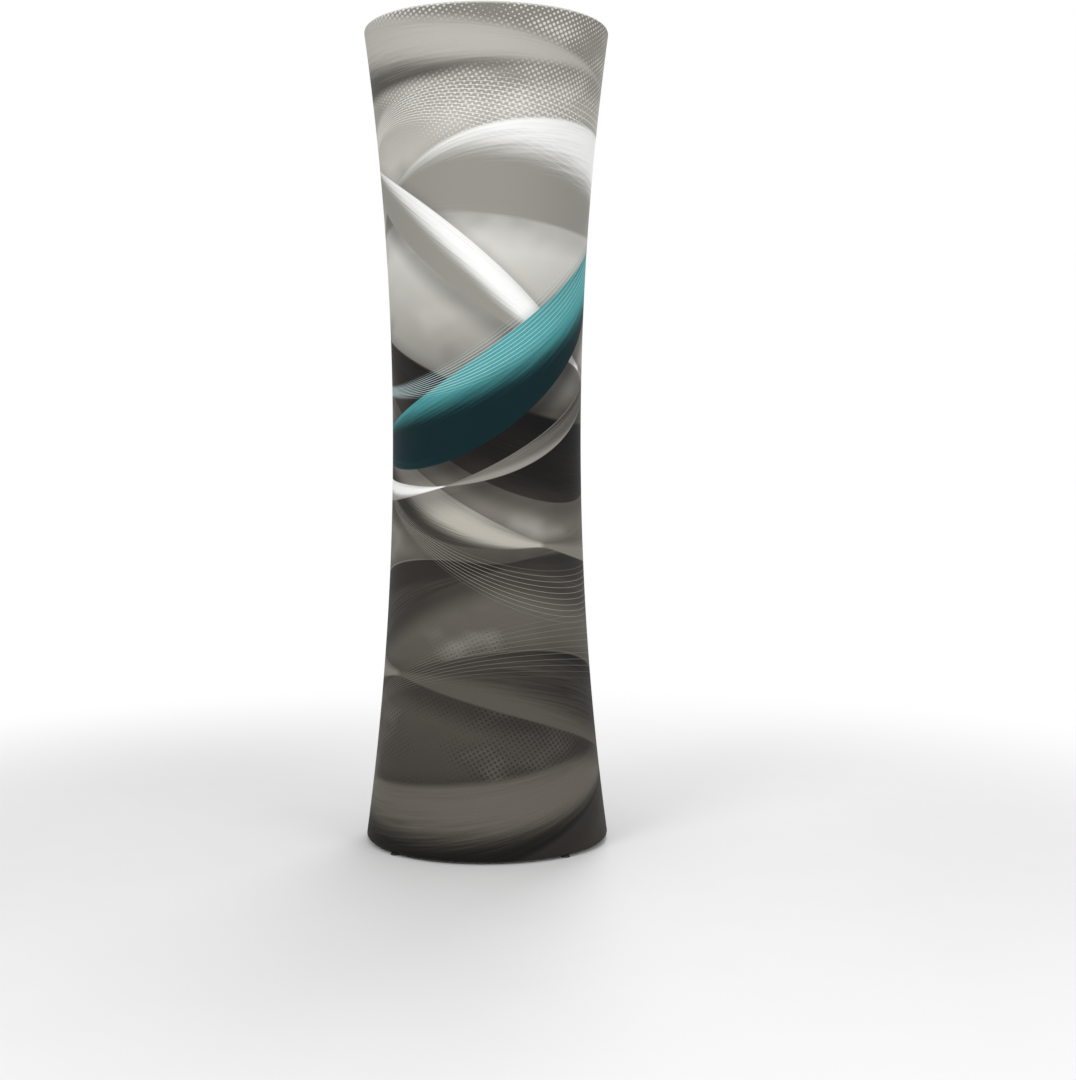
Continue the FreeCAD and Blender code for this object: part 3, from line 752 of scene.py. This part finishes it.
class TowerCoverSettings(bpy.types.PropertyGroup):
    columns: bpy.props.IntProperty(
        name="Columns", description="Mesh columns round the cover", default=180, min=24, max=400
    )
    skin_rows: bpy.props.IntProperty(
        name="Rows", description="Mesh rows between the two rings", default=96, min=12, max=300
    )
    cloth_thickness: metres("Thickness", "Thickness of the stretch fabric", 0.6 * MM)
    hem_depth: metres("Hem", "How far each hem hangs past its ring", 45 * MM)
    welt_depth: metres("Hem welt", "Turned edge of each hem", 18 * MM)
    welt_height: metres("Welt height", "How proud the turned edge stands", 0.9 * MM)
    slit_width: metres("Slit", "Width of the opening that the zip closes", 10 * MM)
    knit_pitch: metres("Knit pitch", "Width of one knit column", 1.1 * MM)
    stitch_margin: metres("Stitch margin", "First stitch row from the middle of the zip", 8 * MM)
    hem_stitch_margin: metres("Hem stitches", "First stitch row from a hem's edge", 10 * MM)
    stitch_row_gap: metres("Stitch rows apart", "Between the two stitch rows", 5 * MM)
    stitch_length: metres("Stitch length", "Length of one stitch", 3.2 * MM)


class TowerZipSettings(bpy.types.PropertyGroup):
    tooth_pitch: metres("Tooth pitch", "From one coil turn to the next on the same side", 3.0 * MM)
    tooth_round: metres("Tooth rounding", "Bevel on each coil turn", 0.3 * MM)
    metal_round: metres("Slider rounding", "Bevel on the slider and its tab", 0.45 * MM)


class TowerFrameSettings(bpy.types.PropertyGroup):
    button_diameter: metres("Button", "Diameter of a spring button", 8 * MM)
    button_rise: metres("Button rise", "How proud a button's side stands", 1.6 * MM)
    button_inset: metres("Button inset", "From the seam to the button", 30 * MM)


class TowerStudioSettings(bpy.types.PropertyGroup):
    floor_colour: bpy.props.FloatVectorProperty(
        name="Floor",
        description="Colour of the studio floor",
        default=(0.86, 0.86, 0.86),
        size=3,
        subtype="COLOR",
    )
    shadow_reach: metres("Shadow reach", "Where the floor turns white", 4.0)
    lens: bpy.props.FloatProperty(
        name="Lens", description="Focal length on the long side", default=55.782, min=10, max=300
    )


# The camera stands in front of the tower and a little to the right, and looks slightly down.
CAMERA_AZIMUTH = math.radians(4.86)
CAMERA_DISTANCE = 6.357
CAMERA_HEIGHT = 1.5117
CAMERA_TILT = math.radians(-2.119)
CAMERA_LOOKS_RIGHT = math.radians(1.747)
CAMERA_SHIFT_Y = -0.035


def cover_profile(settings):
    """Radius and height of the cloth, from the bottom hem over the skin to the top hem."""
    stations = []

    def hem(side, order):
        steps = [
            (settings.hem_depth, settings.welt_height),
            (settings.hem_depth - settings.welt_depth, settings.welt_height),
            (settings.hem_depth - settings.welt_depth - 1.5 * MM, 0.0),
            (settings.hem_depth / 4, 0.0),
        ]
        for reach, proud in steps[::order]:
            radius, height = on_bend(WRAP + proud, RING_ANGLE)
            radius -= reach * math.sin(RING_ANGLE)
            height -= reach * math.cos(RING_ANGLE)
            stations.append((radius, WAIST_HEIGHT + side * (height - WAIST_HEIGHT)))

    def roll(side, order):
        for step in range(ROLL_STEPS + 1)[::order]:
            turn = math.pi * step / ROLL_STEPS - RING_ANGLE
            radius = RING_RADIUS + WRAP * math.cos(turn)
            height = HALF_RISE + WRAP * math.sin(turn)
            stations.append((radius, WAIST_HEIGHT + side * height))

    hem(-1, 1)
    roll(-1, -1)
    for step in range(1, settings.skin_rows):
        stations.append(on_bend(-WRAP, RING_ANGLE * (2 * step / settings.skin_rows - 1)))
    roll(1, 1)
    hem(1, -1)
    return stations


class TOWER_OT_cover(bpy.types.Operator):
    """Make the printed cover: one sheet rolled over both rings, slit at the back for the zip"""

    bl_idname = "tower.cover"
    bl_label = "Printed cover"

    def execute(self, context):
        settings = context.scene.tower_cover
        stations = cover_profile(settings)
        clear_selection()
        radius, height = stations[0]
        bpy.ops.mesh.primitive_circle_add(vertices=settings.columns, radius=radius, location=(0, 0, height))
        cover = bpy.context.object
        edit_whole(cover)
        for (radius, height), (next_radius, next_height) in zip(stations, stations[1:]):
            bpy.ops.mesh.extrude_region_move(TRANSFORM_OT_translate={"value": (0, 0, next_height - height)})
            grown = next_radius / radius
            bpy.ops.transform.resize(value=(grown, grown, 1), center_override=(0, 0, next_height))
        bpy.ops.mesh.select_all(action="SELECT")
        bpy.ops.mesh.normals_make_consistent(inside=False)
        bpy.ops.object.mode_set(mode="OBJECT")
        settle(cover, "printed_cover")
        self.lay_out_cloth(cover, stations, settings.columns)
        self.open_slit(cover, settings)
        length = self.cloth_length(stations)
        cover.data.materials.append(printed_material(settings, length / 2))
        cover.data.materials.append(lining_material(settings))
        solid = cover.modifiers.new("thickness", "SOLIDIFY")
        solid.thickness = settings.cloth_thickness
        solid.offset = -1.0
        solid.use_even_offset = True
        solid.material_offset = 1
        solid.material_offset_rim = 0
        apply_modifiers(cover)
        bpy.ops.object.shade_smooth()
        finish_piece(cover, None, ["fabric_cover"])
        return {"FINISHED"}

    @staticmethod
    def cloth_length(stations):
        return sum(math.dist(a, b) for a, b in zip(stations, stations[1:]))

    @staticmethod
    def open_slit(cover, settings):
        """Cuts the long narrow opening at the back."""
        half = settings.slit_width / 2
        low = TAPE_LOW.z - 1.5 * MM
        high = TAPE_HIGH.z + 1.5 * MM
        select_only(cover)
        bpy.ops.object.mode_set(mode="EDIT")
        cuts = [((side * half, 0, 0), (1, 0, 0)) for side in (-1, 1)]
        cuts += [((0, 0, level), (0, 0, 1)) for level in (low, high)]
        near = 30 * MM
        for place, normal in cuts:
            select_faces(cover, lambda centre, _: centre.y > 0 and abs(centre.x) < near)
            bpy.ops.mesh.bisect(plane_co=place, plane_no=normal)

        def in_slit(centre, normal):
            return centre.y > 0 and abs(centre.x) < half and low < centre.z < high and normal.y > 0

        select_faces(cover, in_slit)
        bpy.ops.mesh.delete(type="FACE")
        bpy.ops.object.mode_set(mode="OBJECT")

    @staticmethod
    def lay_out_cloth(cover, stations, columns):
        """A map in metres: round the tower from the front, and along the cloth."""
        steps = [math.dist(a, b) for a, b in zip(stations, stations[1:])]
        along = [sum(steps[:count]) for count in range(len(stations))]
        start = WAIST_HEIGHT - along[-1] / 2
        layer = cover.data.uv_layers.new(name="cloth_metres")
        vertices = cover.data.vertices
        for face in cover.data.polygons:
            middle_side = 1 if face.center.x >= 0 else -1
            for loop in face.loop_indices:
                index = cover.data.loops[loop].vertex_index
                place = vertices[index].co
                station = index // columns
                if abs(place.z - stations[station][1]) > 1e-4:
                    raise ValueError("the cover's rows are not in order")
                turn = math.atan2(place.x, -place.y)
                if abs(turn) > math.pi - 1e-4:
                    turn = middle_side * math.pi
                layer.data[loop].uv = (turn * MEAN_RADIUS, start + along[station])


class TOWER_OT_zip(bpy.types.Operator):
    """Make the zip: interlocked coil, woven tape, and a slider with its tab"""

    bl_idname = "tower.zip"
    bl_label = "Zip"

    def execute(self, context):
        settings = context.scene.tower_zip
        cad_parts["zip_tape"].data.materials.clear()
        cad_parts["zip_tape"].data.materials.append(tape_material())
        self.coil(settings)
        enamel = enamel_material()
        for node, name in (("zip_slider", "slider_body"), ("zip_pull", "slider_tab")):
            piece = rounded_copy(node, name, settings.metal_round)
            finish_piece(piece, enamel, [node])
        self.crown(enamel)
        self.stops(settings, enamel)
        return {"FINISHED"}

    @staticmethod
    def coil(settings):
        """One tooth of each side, repeated along the zip and laid on the bend of the skin."""
        half_width = (ZIP_HIGH.x - ZIP_LOW.x) / 2
        overlap = 0.5 * MM
        depth = 0.85 * MM
        thickness = settings.tooth_pitch * 0.42
        angle = math.asin((TAPE_HIGH.z - WAIST_HEIGHT) / POLE_BEND)
        length = 2 * angle * (POLE_BEND - WRAP) - 4 * MM
        count = int(length / settings.tooth_pitch)
        clear_selection()
        bpy.ops.mesh.primitive_cube_add(size=1, location=((half_width - overlap) / 2, 0, 0))
        teeth = bpy.context.object
        teeth.scale = (half_width + overlap, depth, thickness)
        settle(teeth, "zip_teeth")
        edit_whole(teeth)
        bpy.ops.mesh.bevel(offset=settings.tooth_round, segments=1)
        bpy.ops.mesh.select_all(action="SELECT")
        bpy.ops.mesh.duplicate_move(TRANSFORM_OT_translate={"value": (0, 0, settings.tooth_pitch / 2)})
        bpy.ops.transform.resize(value=(-1, 1, 1), center_override=(0, 0, 0))
        bpy.ops.mesh.select_all(action="SELECT")
        bpy.ops.mesh.normals_make_consistent(inside=False)
        bpy.ops.object.mode_set(mode="OBJECT")
        row = teeth.modifiers.new("row", "ARRAY")
        row.count = count
        row.use_relative_offset = False
        row.use_constant_offset = True
        row.constant_offset_displace = (0, 0, settings.tooth_pitch)
        apply_modifiers(teeth)
        middle = (count - 0.5) * settings.tooth_pitch / 2
        for vertex in teeth.data.vertices:
            across, out, along = vertex.co
            radius, height = on_bend(-WRAP + depth / 2 - out, (along - middle) / (POLE_BEND - WRAP))
            vertex.co = (across, radius, height)
        finish_piece(teeth, nylon_material(), ["zip_coil"])

    @staticmethod
    def stops(settings, material):
        """The clamps that end the coil, one at the foot and one at the head of the zip."""
        width = (ZIP_HIGH.x - ZIP_LOW.x) * 1.35
        made = []
        for side in (-1, 1):
            reach = math.asin((TAPE_HIGH.z - WAIST_HEIGHT) / POLE_BEND) - STOP_INSET / POLE_BEND
            radius, height = on_bend(-WRAP, side * reach)
            clear_selection()
            bpy.ops.mesh.primitive_cube_add(
                size=1,
                location=(0, radius - 0.35 * MM, height),
                rotation=(side * reach, 0, 0),
                scale=(width, 1.1 * MM, 3.4 * MM),
            )
            stop = settle(bpy.context.object, "zip_stop")
            edit_whole(stop)
            bpy.ops.mesh.bevel(offset=settings.tooth_round, segments=3)
            bpy.ops.object.mode_set(mode="OBJECT")
            made.append(stop)
        stops = join_pieces(made, "zip_stops")
        finish_piece(stops, material)

    @staticmethod
    def crown(material):
        """The arched bridge on the slider that the tab hangs from."""
        low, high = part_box("zip_slider")
        _, tab_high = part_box("zip_pull")
        centre = Vector((0, (high.y + low.y) / 2, tab_high.z - 2.2 * MM))
        clear_selection()
        bpy.ops.mesh.primitive_torus_add(
            major_radius=2.6 * MM, minor_radius=0.7 * MM, major_segments=28, minor_segments=10,
            location=centre + Vector((0, 1.4 * MM, 0)), rotation=(0, math.pi / 2, 0),
        )
        crown = settle(bpy.context.object, "slider_crown")
        finish_piece(crown, material)


def join_pieces(pieces, name):
    clear_selection()
    for piece in pieces:
        piece.select_set(True)
    bpy.context.view_layer.objects.active = pieces[0]
    bpy.ops.object.join()
    joined = bpy.context.object
    select_only(joined)
    bpy.ops.object.shade_smooth_by_angle(angle=SMOOTH_ANGLE)
    return settle(joined, name)


def rounded_copy(node, name, rounding):
    """A copy of a hard CAD node, joined up and with its edges softened."""
    clear_selection()
    piece = bpy.data.objects.new(name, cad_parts[node].data.copy())
    bpy.context.scene.collection.objects.link(piece)
    edit_whole(piece)
    bpy.ops.mesh.remove_doubles(threshold=0.00001)
    bpy.ops.mesh.dissolve_limited(angle_limit=math.radians(2))
    bpy.ops.object.mode_set(mode="OBJECT")
    soften = piece.modifiers.new("soften", "BEVEL")
    soften.width = rounding
    soften.segments = 3
    soften.limit_method = "ANGLE"
    apply_modifiers(piece)
    bpy.ops.object.shade_smooth_by_angle(angle=SMOOTH_ANGLE)
    return settle(piece, name)


def sprung_button(settings):
    """One domed button with the rim of its hole, at the origin and facing along -X."""
    radius = settings.button_diameter / 2
    rise = settings.button_rise
    clear_selection()
    bpy.ops.mesh.primitive_cylinder_add(
        vertices=28, radius=radius, depth=rise + 0.8 * MM, rotation=(0, math.pi / 2, 0),
        location=(-(rise - 0.8 * MM) / 2, 0, 0),
    )
    dome = settle(bpy.context.object, "button_dome")
    edit_whole(dome)
    select_faces(dome, lambda centre, normal: normal.x < -0.9)
    for inset, lift in ((0.18, 0.32), (0.26, 0.22), (0.32, 0.12)):
        bpy.ops.mesh.inset(thickness=radius * inset, depth=radius * lift)
    bpy.ops.object.mode_set(mode="OBJECT")
    clear_selection()
    bpy.ops.mesh.primitive_torus_add(
        major_radius=radius + 0.35 * MM, minor_radius=0.35 * MM, major_segments=28, minor_segments=8,
        rotation=(0, math.pi / 2, 0),
    )
    collar = settle(bpy.context.object, "button_collar")
    return join_pieces([dome, collar], "button_model")


def placed_copy(model, radius, height, azimuth, tilt):
    """A copy of the button on a tube, turned round the tower and up the bend."""
    copy = model.copy()
    copy.data = model.data.copy()
    bpy.context.scene.collection.objects.link(copy)
    place = Matrix.Rotation(azimuth, 4, "Z") @ Matrix.Translation((radius, 0, height))
    copy.data.transform(place @ Matrix.Rotation(tilt, 4, "Y"))
    return copy


class TOWER_OT_frame(bpy.types.Operator):
    """Give the tube frame and the feet their finishes, and add the spring buttons"""

    bl_idname = "tower.frame"
    bl_label = "Tube frame"

    def execute(self, context):
        metal = tube_material()
        rubber = rubber_material()
        for name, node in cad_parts.items():
            if name.startswith(("top_ring", "bottom_ring", "waist_arc", "pole_")):
                node.data.materials.clear()
                node.data.materials.append(metal)
            elif name.startswith("foot_"):
                node.data.materials.clear()
                node.data.materials.append(rubber)
        self.buttons(context.scene.tower_frame)
        return {"FINISHED"}

    @staticmethod
    def buttons(settings):
        """The spring buttons that lock the spigots, in the sockets' sides that face the axis."""
        model = sprung_button(settings)
        inset = settings.button_inset
        copies = []
        for corner, azimuth in CORNERS.items():
            for part in ("upper", "lower"):
                low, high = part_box(f"pole_{corner}_{part}")
                for height in (low.z + inset, high.z - inset):
                    reach = math.asin((height - WAIST_HEIGHT) / POLE_BEND)
                    radius, height = on_bend(TUBE_RADIUS, reach)
                    copies.append(placed_copy(model, radius, height, azimuth, reach))
        _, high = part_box("waist_arc_front")
        seam = math.asin(high.x / POLE_WAIST_RADIUS)
        for quarter in range(4):
            for side in (-1, 1):
                turn = math.pi / 2 * quarter + side * (seam - inset / POLE_WAIST_RADIUS)
                copies.append(placed_copy(model, POLE_WAIST_RADIUS - CROSS_RADIUS, WAIST_HEIGHT, turn, 0.0))
        clear_selection()
        model.select_set(True)
        bpy.ops.object.delete()
        buttons = join_pieces(copies, "spring_buttons")
        finish_piece(buttons, button_material())


class TOWER_OT_studio(bpy.types.Operator):
    """Make the plain floor, the soft lights and the camera"""

    bl_idname = "tower.studio"
    bl_label = "Studio"

    def execute(self, context):
        settings = context.scene.tower_studio
        self.floor(settings)
        self.sky()
        self.lamps()
        self.camera(settings)
        context.scene.view_settings.view_transform = "Standard"
        return {"FINISHED"}

    @staticmethod
    def floor(settings):
        clear_selection()
        bpy.ops.mesh.primitive_plane_add(size=FLOOR_SPAN, location=(0, 0, 0))
        floor = settle(bpy.context.object, "studio_floor")
        floor.data.materials.append(floor_material(settings))

    @staticmethod
    def sky():
        """White to the camera and in reflections, and a softer light on the tower."""
        world = bpy.data.worlds.new("studio_light")
        bpy.context.scene.world = world
        world.use_nodes = True
        nodes = Nodes(world.node_tree)
        background = world.node_tree.nodes["Background"]
        background.inputs["Color"].default_value = (1.0, 1.0, 1.0, 1.0)
        strength = nodes.math("MULTIPLY_ADD", white_to_camera(nodes), 1.0 - SKY_LIGHT, SKY_LIGHT)
        nodes.feed(background.inputs["Strength"], strength)

    @staticmethod
    def lamps():
        lamps = (
            ("key", (-3.2, -5.0, 4.6), 3.0, 150.0),
            ("fill", (4.2, -4.2, 2.6), 3.6, 95.0),
            ("back", (1.0, 5.0, 4.2), 3.0, 110.0),
            ("top", (0.0, 0.0, 6.5), 3.0, 50.0),
        )
        for name, place, size, power in lamps:
            clear_selection()
            bpy.ops.object.light_add(type="AREA", location=place)
            lamp = bpy.context.object
            lamp.name = name
            lamp.data.shape = "DISK"
            lamp.data.size = size
            lamp.data.energy = power
            aim = Vector((0, 0, LAMPS_AIM_HEIGHT)) - Vector(place)
            lamp.rotation_euler = aim.to_track_quat("-Z", "Y").to_euler()

    @staticmethod
    def camera(settings):
        place = (
            CAMERA_DISTANCE * math.sin(CAMERA_AZIMUTH),
            -CAMERA_DISTANCE * math.cos(CAMERA_AZIMUTH),
            CAMERA_HEIGHT,
        )
        turned = CAMERA_AZIMUTH - CAMERA_LOOKS_RIGHT
        clear_selection()
        bpy.ops.object.camera_add(location=place, rotation=(math.pi / 2 + CAMERA_TILT, 0, turned))
        camera = bpy.context.object
        camera.name = "photo_view"
        camera.data.lens = settings.lens
        camera.data.sensor_width = SENSOR_WIDTH
        camera.data.shift_y = CAMERA_SHIFT_Y
        bpy.context.scene.camera = camera


OPERATORS = (TOWER_OT_cover, TOWER_OT_zip, TOWER_OT_frame, TOWER_OT_studio)
SETTINGS = {
    "tower_cover": TowerCoverSettings,
    "tower_zip": TowerZipSettings,
    "tower_frame": TowerFrameSettings,
    "tower_studio": TowerStudioSettings,
}


class TOWER_PT_panel(bpy.types.Panel):
    """Lists the tower's pieces and their settings"""

    bl_idname = "TOWER_PT_panel"
    bl_label = "Display tower"
    bl_space_type = "VIEW_3D"
    bl_region_type = "UI"
    bl_category = "Display tower"

    def draw(self, context):
        for operator in OPERATORS:
            self.layout.operator(operator.bl_idname)
        for name, group in SETTINGS.items():
            box = self.layout.box()
            for setting in group.__annotations__:
                box.prop(getattr(context.scene, name), setting)


def register():
    for group in SETTINGS.values():
        bpy.utils.register_class(group)
    for operator in OPERATORS:
        bpy.utils.register_class(operator)
    bpy.utils.register_class(TOWER_PT_panel)
    for name, group in SETTINGS.items():
        setattr(bpy.types.Scene, name, bpy.props.PointerProperty(type=group))


def unregister():
    for name in SETTINGS:
        delattr(bpy.types.Scene, name)
    bpy.utils.unregister_class(TOWER_PT_panel)
    for operator in reversed(OPERATORS):
        bpy.utils.unregister_class(operator)
    for group in reversed(SETTINGS.values()):
        bpy.utils.unregister_class(group)


def main():
    register()
    bpy.ops.tower.frame()
    bpy.ops.tower.cover()
    bpy.ops.tower.zip()
    bpy.ops.tower.studio()


if __name__ == "__main__":
    main()
